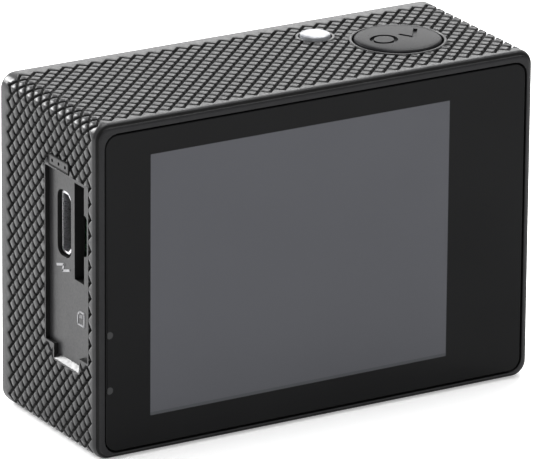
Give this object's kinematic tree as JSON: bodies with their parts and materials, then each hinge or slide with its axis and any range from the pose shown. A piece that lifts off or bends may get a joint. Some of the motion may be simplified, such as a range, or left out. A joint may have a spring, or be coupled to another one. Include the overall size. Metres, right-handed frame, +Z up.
{
  "type": "action camera",
  "caption": "Compact box-shaped action camera with a textured body, rear display, top shutter key, front lens ring, side keys and a hinged battery door underneath.",
  "frame": {"origin": "bottom centre of the whole object's box, lens ring and side keys included; the body's base lies in the plane Z = 0", "axes": "+X to the right as seen from the display side, +Y from the display towards the lens, +Z up"},
  "size_m": [0.0596, 0.028, 0.0414],
  "materials": {
    "body_plastic": "matte black, fine pyramid knurl on the four sides",
    "cover_plastic": "satin black",
    "key_plastic": "satin black",
    "display_glass": "gloss black window with a grey display area",
    "lens_glass": "coated optical glass",
    "lcd_grey": "unlit display",
    "backlight_white": "white diffuser",
    "clear_plastic": "frosted clear light guide",
    "steel": "satin plated",
    "brass": "machined",
    "board_green": "solder mask",
    "chip_black": "moulded",
    "inner_plastic": "plain moulded",
    "flex_amber": "flexible circuit",
    "battery_wrap": "plain wrap",
    "alloy_black": "black anodised",
    "speaker_foil": "satin"
  },
  "bodies": {
    "camera": {"housing": "body_plastic", "rear_glass": "display_glass", "lcd_panel": "lcd_grey", "lcd_backlight": "backlight_white", "lcd_frame": "steel", "lcd_ribbon": "flex_amber", "main_pcb": "board_green", "main_processor": "chip_black", "memory_chip": "chip_black", "microsd_socket": "steel", "micro_usb_shell": "steel", "micro_usb_tongue": "chip_black", "status_led": "backlight_white", "charge_led": "backlight_white", "status_light_pipe": "clear_plastic", "charge_light_pipe": "clear_plastic", "chassis": "inner_plastic", "chassis_screw_1": "steel", "chassis_screw_2": "steel", "chassis_screw_3": "steel", "chassis_screw_4": "steel", "battery": "battery_wrap", "battery_contacts": "chip_black", "door_hinge_pin": "steel", "top_board": "board_green", "shutter_switch": "steel", "indicator_lens": "clear_plastic", "indicator_led": "backlight_white", "front_cover": "cover_plastic", "power_switch": "steel", "up_switch": "steel", "down_switch": "steel", "side_board": "board_green", "speaker": "speaker_foil", "mic_plate": "body_plastic", "microphone": "steel", "sensor_board": "board_green", "image_sensor": "chip_black", "lens_holder": "inner_plastic", "lens_barrel": "alloy_black", "lens_rear_element": "lens_glass", "lens_middle_element": "lens_glass", "lens_front_element": "lens_glass", "lens_ring": "alloy_black", "lens_window": "lens_glass", "tripod_insert": "brass"},
    "shutter_key": {"shutter_button": "key_plastic"},
    "power_key": {"power_button": "key_plastic"},
    "up_key": {"up_button": "key_plastic"},
    "down_key": {"down_button": "key_plastic"},
    "door": {"battery_door": "cover_plastic"},
    "latch": {"battery_latch": "key_plastic"}
  },
  "joints": [
    {"name": "shutter_press", "type": "slide", "parent": "camera", "child": "shutter_key", "axis": [0, 0, -1], "range_m": [0, 0.00025], "stiffness_N_per_m": 2000},
    {"name": "power_press", "type": "slide", "parent": "camera", "child": "power_key", "axis": [0, -1, 0], "range_m": [0, 0.00025], "stiffness_N_per_m": 2000},
    {"name": "up_press", "type": "slide", "parent": "camera", "child": "up_key", "axis": [-1, 0, 0], "range_m": [0, 0.00025], "stiffness_N_per_m": 2000},
    {"name": "down_press", "type": "slide", "parent": "camera", "child": "down_key", "axis": [-1, 0, 0], "range_m": [0, 0.00025], "stiffness_N_per_m": 2000},
    {"name": "door_hinge", "type": "hinge", "parent": "camera", "child": "door", "pos_m": [0.02514, 0, 0.001], "axis": [0, -1, 0], "range_deg": [0, 95]},
    {"name": "latch_slide", "type": "slide", "parent": "door", "child": "latch", "axis": [-1, 0, 0], "range_m": [0, 0.0015]}
  ]
}
